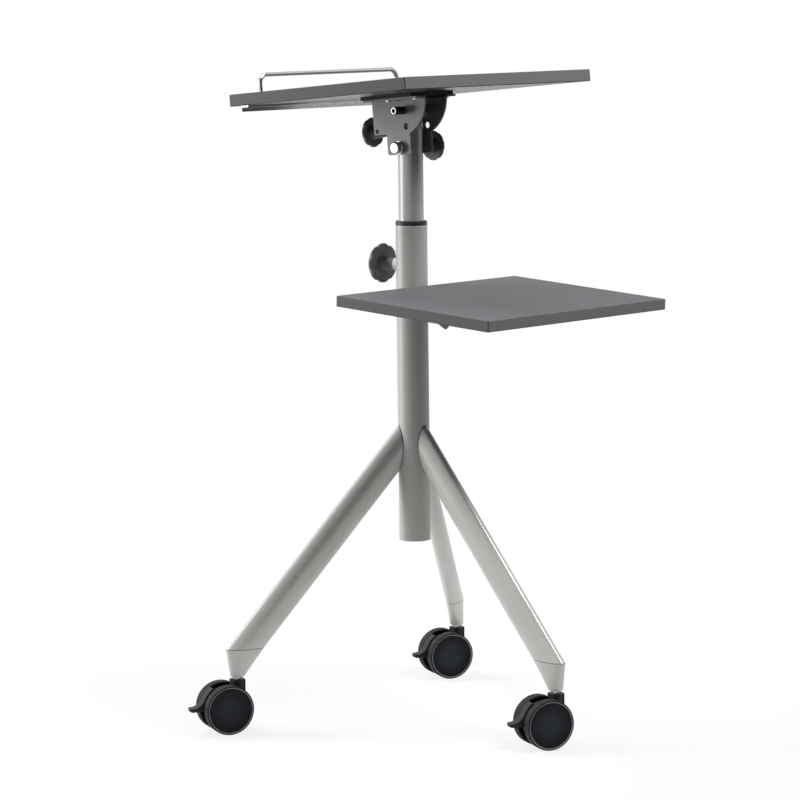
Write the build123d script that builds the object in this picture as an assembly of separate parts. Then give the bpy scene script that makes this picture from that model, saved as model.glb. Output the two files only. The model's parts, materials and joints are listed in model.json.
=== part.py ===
from build123d import *

import math
import os

# A height-adjustable projector stand. A round column stands on three oval legs with
# twin-wheel casters, a mast slides in the column, a tilting tray sits on the mast and a
# fixed shelf is carried half way up the column.
# Millimetres. The origin is on the floor under the column, +Z is up, the front is -Y.

# Clearances
SEAT_GAP = 0.1          # between pieces pushed or welded together on one body
SLIDE_GAP = 0.2         # between the mast and the collar it slides in
PIN_GAP = 0.15          # between a pin and the hole it turns in
TURN_GAP = 0.4          # between faces that turn past each other

# Column, collar and mast
COLUMN_DIAMETER = 48.0
COLUMN_WALL = 2.0
COLUMN_BOTTOM = 276.5
COLUMN_TOP = 757.5
PLUG_RECESS = 1.5       # the plug's face lies this far inside the tube
PLUG_DEPTH = 18.0
PLUG_WALL = 3.0
COLLAR_HEIGHT = 7.0
COLLAR_DEPTH = 40.0
COLLAR_WALL = 2.7
COLLAR_ROUND = 2.0
MAST_WALL = 2.0
MAST_BOTTOM = 489.0
PIVOT_HEIGHT = 875.0
MAST_ABOVE_PIVOT = 40.0

# Legs and feet
STEM_RADIUS = 283.0     # from the column's axis to each caster stem
LEG_DEPTH = 45.5        # the oval tube's long axis, in the upright plane of the leg
LEG_WIDTH = 25.5
LEG_WALL = 2.0
LEG_JOINT_HEIGHT = 419.0  # where the leg's axis meets the column's surface
FOOT_TOP = 125.5
FOOT_BOTTOM = 83.5
FOOT_INSET = 13.0       # from the stem back to the middle of the leg's cut end
FOOT_DIAMETER = 21.5
FOOT_ROUND = 2.0
FRONT_LEG_ANGLE = -90.0
RIGHT_LEG_ANGLE = 30.0
LEFT_LEG_ANGLE = 150.0

# Casters
WHEEL_DIAMETER = 75.0
WHEEL_WIDTH = 16.5
WHEEL_TREAD_ROUND = 2.0
WHEEL_RIM = 2.0         # face of the tyre outside the disc
WHEEL_WALL = 4.0        # of the tyre round the pocket behind the disc
WHEEL_DISH = 1.2        # step from the tyre's face down to the disc
WHEEL_HOLLOW = 1.6      # how far the disc sinks further towards its middle
WHEEL_BEAD = 1.6        # round bead where the disc meets the tyre
WHEEL_WEB = 5.0
WHEEL_HUB_DIAMETER = 20.0
WHEEL_GAP = 2.5         # between each wheel and the hood
AXLE_DIAMETER = 8.0
AXLE_DEPTH = 12.0       # how far the axle reaches into each wheel
CASTER_TRAIL = 21.0
CASTER_ANGLE = 157.5    # the way all three casters trail at rest
HOOD_WIDTH = 16.0
HOOD_RADIUS = 31.0
HOOD_SKIRT = 14.0
BOSS_DIAMETER = 20.0
BOSS_TOP = 79.5
BOSS_HEIGHT = 26.0
BOSS_LIP = 0.6          # the boss's top lip stands out by this much
BOSS_LIP_HEIGHT = 3.5
STEM_DIAMETER = 10.0
STEM_IN_FOOT = 28.0
STEM_IN_BOSS = 24.0
BRAKE_WIDTH = 15.0
BRAKE_INSIDE = 35.0
BRAKE_OUTSIDE = 38.6
BRAKE_START = 57.0      # angle round the axle where the pedal strip begins
BRAKE_BEND = 24.0       # angle where the strip flares out into the pedal
BRAKE_PIVOT_RADIUS = 27.5
BRAKE_PIVOT_ANGLE = 50.0
BRAKE_PIN_DIAMETER = 4.0
BRAKE_LUG_DIAMETER = 9.0
BRAKE_LUG_WIDTH = 6.0
BRAKE_ARM_WIDTH = 7.0
BRAKE_SLOT_GAP = 0.6
PEDAL_REACH = 57.5      # from the axle to the pedal's tip
PEDAL_RISE = 4.6
PEDAL_THICKNESS = 6.0
PEDAL_CORNER = 5.0      # round of the pedal's tip, seen from above

# Shelf and its bracket
SHELF_WIDTH = 385.0
SHELF_DEPTH = 304.0
SHELF_THICKNESS = 16.0
SHELF_TOP = 670.0       # at the column's axis
SHELF_BACK = 34.0       # from the column's axis to the shelf's rear edge
SHELF_TURN = -1.0       # the shelf is clamped a little askew of the front leg
SHELF_DROOP = 3.2       # front edge down
BOARD_EDGE = 1.0
BRACKET_SHEET = 3.0
RIB_SHEET = 4.0
SLEEVE_WALL = 4.0
SLEEVE_HEIGHT = 24.0
RIB_ROOT = 24.0         # depth of the rib at the sleeve
RIB_TOE = 73.5          # from the column's axis to the rib's lowest point
RIB_TOE_DEPTH = 46.0
RIB_LENGTH = 117.0      # from the column's axis to the rib's front end
BRACKET_TONGUE = 190.0  # from the column's axis to the top plate's front edge
BRACKET_WIDTH = 110.0
BRACKET_ROUND = 12.0

# Tilting head, in its own level frame with the pivot at the middle
TRAY_WIDTH = 405.0
TRAY_DEPTH = 364.0
TRAY_THICKNESS = 18.0
TRAY_FORWARD = 9.4      # the tray's middle lies in front of the pivot
TRAY_TILT = 4.8         # front edge up
TRAY_UNDERSIDE = 79.0   # above the pivot
HEAD_PLATE_LENGTH = 112.0
HEAD_PLATE_WIDTH = 92.0
HEAD_PLATE_THICKNESS = 5.0
HEAD_PLATE_ROUND = 6.0
PLATE_SHEET = 3.0
PLATE_ROUND = 57.0        # radius of each plate's front quarter
PLATE_FORWARD = 3.0       # its centre lies in front of the pivot
PLATE_REAR = 50.0         # from the pivot to each plate's rear edge
PLATE_BEND = 4.0          # outside radius of the fold to the flange
PLATE_FOOT = 21.0   # height of the wide part's lower edge above the pivot
PLATE_GAP = 2.2     # between the mast and each plate
FLANGE_WIDTH = 22.0
TAB_WIDTH = 48.0
TAB_BELOW = 10.3
TAB_ROUND = 4.0
PIVOT_BOLT_DIAMETER = 10.0
PIVOT_HEAD_DIAMETER = 18.0
PIVOT_HEAD_HEIGHT = 9.5
PIVOT_HEAD_BEVEL = 1.5
WASHER_DIAMETER = 20.0
WASHER_THICKNESS = 1.6
STOP_BOLT_FORWARD = 13.0
STOP_BOLT_HEIGHT = 55.0
STOP_BOLT_DIAMETER = 8.0
STOP_SLEEVE_DIAMETER = 11.8
STOP_SLEEVE_LENGTH = 20.0
STOP_SOCKET_DIAMETER = 7.0
STOP_SOCKET_DEPTH = 9.0
STOP_NUT_HEIGHT = 6.0
FRONT_HOLE_DIAMETER = 10.0
FRONT_HOLE_FORWARD = 17.4
FRONT_HOLE_HEIGHT = 31.0
BARREL_REAR = 43.5
BARREL_HEIGHT = 26.5
BARREL_DIAMETER = 14.0
BARREL_SPIGOT_DIAMETER = 7.0

# Rail at the rear of the tray
RAIL_DIAMETER = 8.0
RAIL_LENGTH = 296.0
RAIL_HEIGHT = 32.0
RAIL_BEND = 14.0
RAIL_FROM_REAR = 12.0
BAR_LENGTH = 368.0
BAR_WIDTH = 16.0
BAR_HEIGHT = 8.5
BAR_WALL = 2.0

# Clamping knobs
KNOB_LOBES = 8
KNOB_STUD_DIAMETER = 8.0
KNOB_NECK_DIAMETER = 17.0
KNOB_FLARE_DIAMETER = 22.0
KNOB_EDGE = 1.5
KNOB_RIM = 4.0            # height of the rim, where the crown starts
KNOB_FLUTE = 0.20         # flute radius and depth, as shares of the diameter
KNOB_FLUTE_DEPTH = 0.035
KNOB_LOBE_ROUND = 0.05    # round between flute and lobe, as a share of the diameter
KNOB_DISH = 0.86          # dish, as a share of the radius
KNOB_DISH_DEPTH = 2.0
LOCK_KNOB_DIAMETER = 60.0
LOCK_KNOB_THICKNESS = 12.0
LOCK_KNOB_REACH = 58.5    # from the column's axis to the near face of the knob
LOCK_KNOB_HEIGHT = 697.0
LOCK_NUT_DIAMETER = 20.0
LOCK_NUT_HEIGHT = 8.0
HEAD_KNOB_DIAMETER = 45.0
HEAD_KNOB_THICKNESS = 10.0
PIVOT_KNOB_REACH = 47.5
TILT_KNOB_REACH = 74.0
TILT_STUD_TIP = 29.0      # from the mast's axis to the end of the tilt screw

# Worked out from the sizes above
COLUMN_RADIUS = COLUMN_DIAMETER / 2
COLUMN_BORE = COLUMN_RADIUS - COLUMN_WALL
MAST_RADIUS = COLUMN_BORE - SEAT_GAP - COLLAR_WALL - SLIDE_GAP
MAST_TOP = PIVOT_HEIGHT + MAST_ABOVE_PIVOT
LEG_ANGLES = {"front": FRONT_LEG_ANGLE, "right": RIGHT_LEG_ANGLE, "left": LEFT_LEG_ANGLE}
WHEEL_RADIUS = WHEEL_DIAMETER / 2
PLATE_INSIDE = MAST_RADIUS + PLATE_GAP
PLATE_OUTSIDE = PLATE_INSIDE + PLATE_SHEET
FLANGE_TOP = TRAY_UNDERSIDE - HEAD_PLATE_THICKNESS
TRAY_REAR = TRAY_DEPTH / 2 - TRAY_FORWARD
RAIL_REAR = TRAY_REAR - RAIL_FROM_REAR
PLATE_FRONT = PLATE_FORWARD + PLATE_ROUND


def rod(diameter, start, end):
    """A round bar along Z between two heights."""
    return Pos(0, 0, start) * Cylinder(
        diameter / 2, end - start, align=(Align.CENTER, Align.CENTER, Align.MIN)
    )


def block(width, depth, start, end):
    """A rectangular block, centred on Z, between two heights."""
    return Pos(0, 0, start) * Box(
        width, depth, end - start, align=(Align.CENTER, Align.CENTER, Align.MIN)
    )


def along_x(solid):
    """Lay a solid made along Z so that its Z becomes +X."""
    return Rot(0, 90, 0) * solid


def along_y(solid):
    """Lay a solid made along Z so that its Z becomes +Y."""
    return Rot(-90, 0, 0) * solid


def on_leg(solid, angle):
    """Turn a solid made in the XZ plane round to the leg at this angle."""
    return Rot(0, 0, angle) * solid


# Column, plug, collar and mast
def make_column():
    nut_end = COLUMN_RADIUS + LOCK_NUT_HEIGHT
    nut = Pos(0, 0, LOCK_KNOB_HEIGHT) * along_y(rod(LOCK_NUT_DIAMETER, 0, nut_end))
    bore = rod(2 * COLUMN_BORE, COLUMN_BOTTOM, COLUMN_TOP)
    stud_hole = along_y(rod(KNOB_STUD_DIAMETER + 2 * PIN_GAP, 0, nut_end))
    column = rod(COLUMN_DIAMETER, COLUMN_BOTTOM, COLUMN_TOP) + nut
    return column - bore - Pos(0, 0, LOCK_KNOB_HEIGHT) * stud_hole


def make_column_plug():
    start = COLUMN_BOTTOM + PLUG_RECESS
    radius = COLUMN_BORE - SEAT_GAP
    hollow = rod(2 * (radius - PLUG_WALL), start + PLUG_WALL, start + PLUG_DEPTH)
    return rod(2 * radius, start, start + PLUG_DEPTH) - hollow


def make_collar():
    rim = rod(COLUMN_DIAMETER, COLUMN_TOP, COLUMN_TOP + COLLAR_HEIGHT)
    rim = fillet(rim.edges().group_by(Axis.Z)[-1], COLLAR_ROUND)
    spigot = rod(2 * (COLUMN_BORE - SEAT_GAP), COLUMN_TOP - COLLAR_DEPTH, COLUMN_TOP)
    bore = rod(2 * (MAST_RADIUS + SLIDE_GAP), COLUMN_TOP - COLLAR_DEPTH, COLUMN_TOP + COLLAR_HEIGHT)
    return rim + spigot - bore


def make_mast():
    mast = rod(2 * MAST_RADIUS, MAST_BOTTOM, MAST_TOP)
    bore = rod(2 * (MAST_RADIUS - MAST_WALL), MAST_BOTTOM, MAST_TOP)
    bolt_hole = along_x(rod(PIVOT_BOLT_DIAMETER + 2 * SEAT_GAP, -MAST_RADIUS, MAST_RADIUS))
    return mast - bore - Pos(0, 0, PIVOT_HEIGHT) * bolt_hole


# Legs and feet
def leg_lean():
    """Angle of a leg from the upright, from its joint and its cut end."""
    run = STEM_RADIUS - FOOT_INSET - COLUMN_RADIUS
    return math.atan2(run, LEG_JOINT_HEIGHT - FOOT_TOP)


def make_leg(angle):
    lean = leg_lean()
    cut_radius = STEM_RADIUS - FOOT_INSET
    section_plane = Plane(
        origin=(cut_radius, 0, FOOT_TOP),
        x_dir=(math.cos(lean), 0, math.sin(lean)),
        z_dir=(-math.sin(lean), 0, math.cos(lean)),
    )
    oval = Ellipse(LEG_DEPTH / 2, LEG_WIDTH / 2)
    hollow = Ellipse(LEG_DEPTH / 2 - LEG_WALL, LEG_WIDTH / 2 - LEG_WALL)
    to_axis = cut_radius / math.sin(lean)
    bar = extrude(section_plane * (oval - hollow), to_axis)
    bar += extrude(section_plane * (oval - hollow), -LEG_DEPTH)
    below = Pos(cut_radius, 0, 0) * block(4 * LEG_DEPTH, 2 * LEG_WIDTH, 0, FOOT_TOP)
    column = rod(COLUMN_DIAMETER + 2 * SEAT_GAP, COLUMN_BOTTOM, COLUMN_TOP)
    return on_leg(bar - below - column, angle)


def make_foot(angle):
    oval = Ellipse(LEG_DEPTH / 2 / math.cos(leg_lean()), LEG_WIDTH / 2)
    top = Pos(STEM_RADIUS - FOOT_INSET, 0, FOOT_TOP) * oval
    bottom = Pos(STEM_RADIUS, 0, FOOT_BOTTOM) * Circle(FOOT_DIAMETER / 2)
    foot = loft([bottom, top])
    foot = fillet(foot.edges().group_by(Axis.Z)[0], FOOT_ROUND)
    hole = rod(STEM_DIAMETER + 2 * SEAT_GAP, FOOT_BOTTOM, FOOT_BOTTOM + STEM_IN_FOOT)
    return on_leg(foot - Pos(STEM_RADIUS, 0, 0) * hole, angle)


# One caster, made with its stem on the Z axis and trailing along +X
def at_axle(solid):
    return Pos(CASTER_TRAIL, 0, WHEEL_RADIUS) * solid


def polar(radius, degrees):
    return (radius * math.cos(math.radians(degrees)), radius * math.sin(math.radians(degrees)))


def make_stem():
    return rod(STEM_DIAMETER, BOSS_TOP - STEM_IN_BOSS, FOOT_BOTTOM + STEM_IN_FOOT)


def brake_pivot():
    return Pos(*polar(BRAKE_PIVOT_RADIUS, BRAKE_PIVOT_ANGLE)) * Rot(0, 0, BRAKE_PIVOT_ANGLE - 90)


def upright_sheet(sketch, width):
    """Extrude a sketch of the XZ plane evenly to both sides."""
    return extrude(Plane.XZ * sketch, width / 2, both=True)


def make_hood():
    below = Pos(0, -HOOD_RADIUS - HOOD_SKIRT) * Rectangle(2 * HOOD_RADIUS, 2 * HOOD_RADIUS)
    neck_top = BOSS_TOP - WHEEL_RADIUS
    neck = Pos(-CASTER_TRAIL, neck_top / 2) * Rectangle(BOSS_DIAMETER, neck_top)
    hood = at_axle(upright_sheet(Circle(HOOD_RADIUS) - below + neck, HOOD_WIDTH))
    hood += rod(BOSS_DIAMETER, BOSS_TOP - BOSS_HEIGHT, BOSS_TOP)
    hood += rod(BOSS_DIAMETER + 2 * BOSS_LIP, BOSS_TOP - BOSS_LIP_HEIGHT, BOSS_TOP)
    slot_radius = BRAKE_LUG_DIAMETER / 2 + BRAKE_SLOT_GAP
    way_out = Pos(0, HOOD_RADIUS / 2) * Rectangle(2 * slot_radius, HOOD_RADIUS)
    slot = brake_pivot() * (Circle(slot_radius) + way_out)
    hood -= at_axle(upright_sheet(slot, BRAKE_LUG_WIDTH + 2 * BRAKE_SLOT_GAP))
    pin = brake_pivot() * Circle(BRAKE_PIN_DIAMETER / 2)
    hood += at_axle(upright_sheet(pin, HOOD_WIDTH))
    hood -= at_axle(along_y(rod(AXLE_DIAMETER + 2 * PIN_GAP, -HOOD_WIDTH, HOOD_WIDTH)))
    return hood - rod(STEM_DIAMETER + 2 * PIN_GAP, BOSS_TOP - STEM_IN_BOSS - TURN_GAP, BOSS_TOP)


def make_brake():
    middle = (BRAKE_START + BRAKE_BEND) / 2
    tip = PEDAL_REACH - PEDAL_THICKNESS / 2
    underside = PEDAL_RISE - PEDAL_THICKNESS
    outer_start = polar(BRAKE_OUTSIDE, BRAKE_START)
    outer_end = polar(BRAKE_OUTSIDE, BRAKE_BEND)
    inner_start = polar(BRAKE_INSIDE, BRAKE_START)
    inner_end = (BRAKE_INSIDE, underside)
    strip_way = polar(1, BRAKE_BEND - 90)
    outline = [
        ThreePointArc(outer_start, polar(BRAKE_OUTSIDE, middle), outer_end),
        TangentArc(outer_end, (tip, PEDAL_RISE), tangent=strip_way),
        ThreePointArc((tip, PEDAL_RISE), (PEDAL_REACH, (PEDAL_RISE + underside) / 2), (tip, underside)),
        Line((tip, underside), inner_end),
        ThreePointArc(inner_end, polar(BRAKE_INSIDE, middle), inner_start),
        Line(inner_start, outer_start),
    ]
    strip = upright_sheet(make_face(outline), BRAKE_WIDTH)
    plan = Pos(PEDAL_REACH / 2, 0) * RectangleRounded(PEDAL_REACH, BRAKE_WIDTH, PEDAL_CORNER)
    strip &= extrude(plan, BRAKE_OUTSIDE, both=True)
    reach = (BRAKE_INSIDE + BRAKE_OUTSIDE) / 2 - BRAKE_PIVOT_RADIUS
    arm = Pos(0, reach / 2) * Rectangle(BRAKE_ARM_WIDTH, reach)
    lug = brake_pivot() * (Circle(BRAKE_LUG_DIAMETER / 2) + arm)
    hole = brake_pivot() * Circle(BRAKE_PIN_DIAMETER / 2 + PIN_GAP)
    brake = strip + upright_sheet(lug, BRAKE_LUG_WIDTH)
    return at_axle(brake - upright_sheet(hole, HOOD_WIDTH))


def make_wheel(side):
    """A dished wheel turned about the axle: side is +1 or -1 along Y."""
    inner = HOOD_WIDTH / 2 + WHEEL_GAP
    outer = inner + WHEEL_WIDTH
    disc_radius = WHEEL_RADIUS - WHEEL_RIM
    hub_radius = WHEEL_HUB_DIAMETER / 2
    face = outer - WHEEL_DISH
    tyre = Pos(WHEEL_RADIUS / 2, (inner + outer) / 2) * Rectangle(WHEEL_RADIUS, WHEEL_WIDTH)
    tyre = fillet(tyre.vertices().group_by(Axis.X)[-1], WHEEL_TREAD_ROUND)
    dish = make_face([
        TangentArc((0, face - WHEEL_HOLLOW), (disc_radius, face), tangent=(1, 0)),
        Line((disc_radius, face), (disc_radius, outer)),
        Line((disc_radius, outer), (0, outer)),
        Line((0, outer), (0, face - WHEEL_HOLLOW)),
    ])
    bead = Pos(disc_radius, face) * Circle(WHEEL_BEAD / 2)
    back = face - WHEEL_HOLLOW - WHEEL_WEB
    pocket_radius = WHEEL_RADIUS - WHEEL_WALL
    pocket = Pos((hub_radius + pocket_radius) / 2, (inner + back) / 2) * Rectangle(
        pocket_radius - hub_radius, back - inner
    )
    bore_radius = AXLE_DIAMETER / 2 + SEAT_GAP
    bore = Pos(bore_radius / 2, inner + AXLE_DEPTH / 2) * Rectangle(bore_radius, AXLE_DEPTH)
    wheel = revolve(tyre - dish + bead - pocket - bore, Axis.Y)
    return at_axle(wheel if side > 0 else mirror(wheel, Plane.XZ))


def make_axle():
    reach = HOOD_WIDTH / 2 + WHEEL_GAP + AXLE_DEPTH
    return at_axle(along_y(rod(AXLE_DIAMETER, -reach, reach)))


def place_caster(solid, angle):
    x, y = polar(STEM_RADIUS, angle)
    return Pos(x, y, 0) * Rot(0, 0, CASTER_ANGLE) * solid


# Shelf and bracket
def make_board(width, depth, thickness):
    board = block(width, depth, -thickness, 0)
    return chamfer(board.edges(), BOARD_EDGE)


def place_shelf(solid):
    """Set a solid made level, with the column's axis at the origin, on the drooping shelf's plane."""
    return Pos(0, 0, SHELF_TOP) * Rot(0, 0, SHELF_TURN) * Rot(SHELF_DROOP, 0, 0) * solid


def make_shelf():
    board = make_board(SHELF_WIDTH, SHELF_DEPTH, SHELF_THICKNESS)
    return place_shelf(Pos(0, -SHELF_BACK - SHELF_DEPTH / 2, 0) * board)


def make_shelf_bracket():
    sleeve_radius = COLUMN_RADIUS + SLEEVE_WALL
    plate_top = -SHELF_THICKNESS
    plate_bottom = plate_top - BRACKET_SHEET
    tongue = block(BRACKET_WIDTH, BRACKET_TONGUE - SHELF_BACK, plate_bottom, plate_top)
    tongue = fillet(tongue.edges().filter_by(Axis.Z), BRACKET_ROUND)
    tongue = Pos(0, -(SHELF_BACK + BRACKET_TONGUE) / 2, 0) * tongue
    neck = Pos(0, -SHELF_BACK / 2, 0) * block(2 * sleeve_radius, SHELF_BACK, plate_bottom, plate_top)
    outline = Polyline(
        (0, plate_top),
        (0, plate_top - RIB_ROOT),
        (-COLUMN_RADIUS, plate_top - RIB_ROOT),
        (-RIB_TOE, plate_top - RIB_TOE_DEPTH),
        (-RIB_LENGTH, plate_top),
        close=True,
    )
    rib = extrude(Plane.YZ * make_face(outline), RIB_SHEET / 2, both=True)
    sleeve_top = SHELF_TOP - SHELF_THICKNESS
    sleeve = rod(2 * sleeve_radius, sleeve_top - SLEEVE_HEIGHT, sleeve_top)
    column = rod(COLUMN_DIAMETER + 2 * SEAT_GAP, COLUMN_BOTTOM, COLUMN_TOP)
    return sleeve + place_shelf(tongue + neck + rib) - column


# Tilting head, made level with the pivot at the origin
def place_head(solid):
    return Pos(0, 0, PIVOT_HEIGHT) * Rot(-TRAY_TILT, 0, 0) * solid


def plate_outline():
    """One side plate: a quarter round at the front, square at the rear, with a lower tab."""
    tab = TAB_WIDTH / 2
    foot = FLANGE_TOP - math.sqrt(PLATE_ROUND**2 - (tab - PLATE_FORWARD) ** 2)
    outline = [
        Line((PLATE_REAR, FLANGE_TOP), (-PLATE_FRONT, FLANGE_TOP)),
        TangentArc((-PLATE_FRONT, FLANGE_TOP), (-tab, foot), tangent=(0, -1)),
        Line((-tab, foot), (-tab, -TAB_BELOW)),
        Line((-tab, -TAB_BELOW), (tab, -TAB_BELOW)),
        Line((tab, -TAB_BELOW), (tab, PLATE_FOOT)),
        Line((tab, PLATE_FOOT), (PLATE_REAR, PLATE_FOOT)),
        Line((PLATE_REAR, PLATE_FOOT), (PLATE_REAR, FLANGE_TOP)),
    ]
    face = make_face(outline)
    face = fillet(face.vertices().group_by(Axis.Y)[0], TAB_ROUND)
    rear_corner = face.vertices().sort_by(Axis.X)[-2:].sort_by(Axis.Y)[0]
    return fillet(rear_corner, TAB_ROUND)


def make_side_plate(side):
    holes = [
        (0, 0, PIVOT_BOLT_DIAMETER / 2 + PIN_GAP),
        (-STOP_BOLT_FORWARD, STOP_BOLT_HEIGHT, STOP_BOLT_DIAMETER / 2 + SEAT_GAP),
        (-FRONT_HOLE_FORWARD, FRONT_HOLE_HEIGHT, FRONT_HOLE_DIAMETER / 2),
        (BARREL_REAR, BARREL_HEIGHT, BARREL_SPIGOT_DIAMETER / 2 + SEAT_GAP),
    ]
    sheet = plate_outline()
    for y, z, radius in holes:
        sheet -= Pos(y, z) * Circle(radius)
    plate = Pos(PLATE_INSIDE, 0, 0) * extrude(Plane.YZ * sheet, PLATE_SHEET)
    plate += Pos(PLATE_INSIDE + FLANGE_WIDTH / 2, (PLATE_REAR - PLATE_FRONT) / 2, 0) * block(
        FLANGE_WIDTH, PLATE_REAR + PLATE_FRONT, FLANGE_TOP - PLATE_SHEET, FLANGE_TOP
    )
    fold = plate.edges().filter_by(Axis.Y).group_by(Axis.X)[0].sort_by(Axis.Z)[-1]
    plate = fillet(fold, PLATE_BEND)
    return place_head(plate if side > 0 else mirror(plate, Plane.YZ))


def make_head_plate():
    plate = block(HEAD_PLATE_WIDTH, HEAD_PLATE_LENGTH, FLANGE_TOP, TRAY_UNDERSIDE)
    return place_head(fillet(plate.edges().filter_by(Axis.Z), HEAD_PLATE_ROUND))


def make_tray():
    top = TRAY_UNDERSIDE + TRAY_THICKNESS
    board = Pos(0, -TRAY_FORWARD, top) * make_board(TRAY_WIDTH, TRAY_DEPTH, TRAY_THICKNESS)
    hole = rod(RAIL_DIAMETER + 2 * SEAT_GAP, TRAY_UNDERSIDE, top)
    for x in (-RAIL_LENGTH / 2, RAIL_LENGTH / 2):
        board -= Pos(x, RAIL_REAR, 0) * hole
    return place_head(board)


def make_pivot_bolt():
    head_start = -PLATE_OUTSIDE - TURN_GAP - WASHER_THICKNESS
    shank = along_x(rod(PIVOT_BOLT_DIAMETER, head_start, PIVOT_KNOB_REACH))
    washer = along_x(rod(WASHER_DIAMETER, head_start, head_start + WASHER_THICKNESS))
    hexagon = RegularPolygon(PIVOT_HEAD_DIAMETER / 2, 6)
    turned = rod(PIVOT_HEAD_DIAMETER, 0, PIVOT_HEAD_HEIGHT)
    turned = chamfer(turned.edges().group_by(Axis.Z)[0], PIVOT_HEAD_BEVEL)
    head = Pos(0, 0, head_start - PIVOT_HEAD_HEIGHT) * (extrude(hexagon, PIVOT_HEAD_HEIGHT) & turned)
    return Pos(0, 0, PIVOT_HEIGHT) * (shank + washer + along_x(head))


def make_stop_bolt():
    inside = PLATE_INSIDE - SEAT_GAP
    outside = PLATE_OUTSIDE + SEAT_GAP
    bolt = rod(STOP_BOLT_DIAMETER, -outside, outside)
    bolt += rod(STOP_SLEEVE_DIAMETER, -inside, inside)
    bolt += rod(STOP_SLEEVE_DIAMETER, outside, outside + STOP_NUT_HEIGHT)
    bolt += rod(STOP_SLEEVE_DIAMETER, -outside - STOP_SLEEVE_LENGTH, -outside)
    socket = extrude(RegularPolygon(STOP_SOCKET_DIAMETER / 2, 6), STOP_SOCKET_DEPTH)
    bolt -= Pos(0, 0, -outside - STOP_SLEEVE_LENGTH) * socket
    return place_head(Pos(0, -STOP_BOLT_FORWARD, STOP_BOLT_HEIGHT) * along_x(bolt))


def make_tilt_barrel():
    inside = PLATE_INSIDE - SEAT_GAP
    barrel = rod(BARREL_DIAMETER, -inside, inside)
    barrel += rod(BARREL_SPIGOT_DIAMETER, -PLATE_OUTSIDE, PLATE_OUTSIDE)
    barrel = along_x(barrel)
    barrel -= along_y(rod(KNOB_STUD_DIAMETER + 2 * PIN_GAP, -BARREL_DIAMETER, BARREL_DIAMETER))
    return place_head(Pos(0, BARREL_REAR, BARREL_HEIGHT) * barrel)


def make_rail():
    low = TRAY_UNDERSIDE - BAR_WALL
    high = TRAY_UNDERSIDE + TRAY_THICKNESS + RAIL_HEIGHT - RAIL_DIAMETER / 2
    half = RAIL_LENGTH / 2
    path = FilletPolyline((-half, low), (-half, high), (half, high), (half, low), radius=RAIL_BEND)
    path = Plane((0, RAIL_REAR, 0), x_dir=(1, 0, 0), z_dir=(0, -1, 0)) * path
    start = Plane(origin=path @ 0, z_dir=path % 0)
    return place_head(sweep(start * Circle(RAIL_DIAMETER / 2), path=path))


def make_rail_bar():
    low = TRAY_UNDERSIDE - BAR_HEIGHT
    web = TRAY_UNDERSIDE - BAR_WALL
    bar = block(BAR_LENGTH, BAR_WIDTH, low, TRAY_UNDERSIDE)
    bar -= Pos(0, -BAR_WALL / 2, 0) * block(BAR_LENGTH, BAR_WIDTH - BAR_WALL, low, web)
    for x in (-RAIL_LENGTH / 2, RAIL_LENGTH / 2):
        bar -= Pos(x, 0, 0) * rod(RAIL_DIAMETER + 2 * SEAT_GAP, web, TRAY_UNDERSIDE)
    return place_head(Pos(0, RAIL_REAR, 0) * bar)


# Knobs, made along +Z from the seat that they clamp
def make_knob(diameter, thickness, seat, reach, stud_tip):
    """A knob with lobes and a crown: its near face is at reach, its neck ends at seat, its stud at stud_tip."""
    radius = diameter / 2
    flare = KNOB_FLARE_DIAMETER / 2
    floor = reach + KNOB_DISH_DEPTH
    rim = reach + KNOB_RIM
    crown = reach + thickness
    grip = make_face(
        [
            Polyline((0, crown), (0, reach), (radius, reach), (radius, rim)),
            TangentArc((0, crown), (radius, rim), tangent=(1, 0)),
        ]
    )
    grip = fillet(grip.vertices().group_by(Axis.X)[-1], KNOB_EDGE)
    dish = make_face(
        Polyline((0, reach), (KNOB_DISH * radius, reach), (flare, floor), (0, floor), close=True)
    )
    neck = make_face(
        Polyline((0, seat), (KNOB_NECK_DIAMETER / 2, seat), (flare, floor), (0, floor), close=True)
    )
    knob = revolve(Plane.XZ * (grip - dish + neck), Axis.Z)
    flute = KNOB_FLUTE * diameter
    from_axis = radius + flute - KNOB_FLUTE_DEPTH * diameter
    plan = Circle(radius) - PolarLocations(from_axis, KNOB_LOBES) * Circle(flute)
    plan = Rot(0, 0, 180 / KNOB_LOBES) * fillet(plan.vertices(), KNOB_LOBE_ROUND * diameter)
    knob &= extrude(Pos(0, 0, seat) * plan, crown - seat)
    return knob + rod(KNOB_STUD_DIAMETER, stud_tip, floor)


def make_lock_knob():
    seat = COLUMN_RADIUS + LOCK_NUT_HEIGHT + TURN_GAP
    knob = make_knob(
        LOCK_KNOB_DIAMETER, LOCK_KNOB_THICKNESS, seat, LOCK_KNOB_REACH, MAST_RADIUS + TURN_GAP
    )
    return Pos(0, 0, LOCK_KNOB_HEIGHT) * along_y(knob)


def make_pivot_knob():
    seat = PLATE_OUTSIDE + TURN_GAP
    knob = make_knob(HEAD_KNOB_DIAMETER, HEAD_KNOB_THICKNESS, seat, PIVOT_KNOB_REACH, seat)
    knob -= rod(PIVOT_BOLT_DIAMETER + 2 * PIN_GAP, seat, PIVOT_KNOB_REACH + TURN_GAP)
    return Pos(0, 0, PIVOT_HEIGHT) * along_x(knob)


def make_tilt_knob():
    seat = BARREL_REAR + BARREL_DIAMETER / 2 + TURN_GAP
    knob = make_knob(
        HEAD_KNOB_DIAMETER, HEAD_KNOB_THICKNESS, seat, TILT_KNOB_REACH, TILT_STUD_TIP
    )
    return place_head(Pos(0, 0, BARREL_HEIGHT) * along_y(knob))


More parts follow.
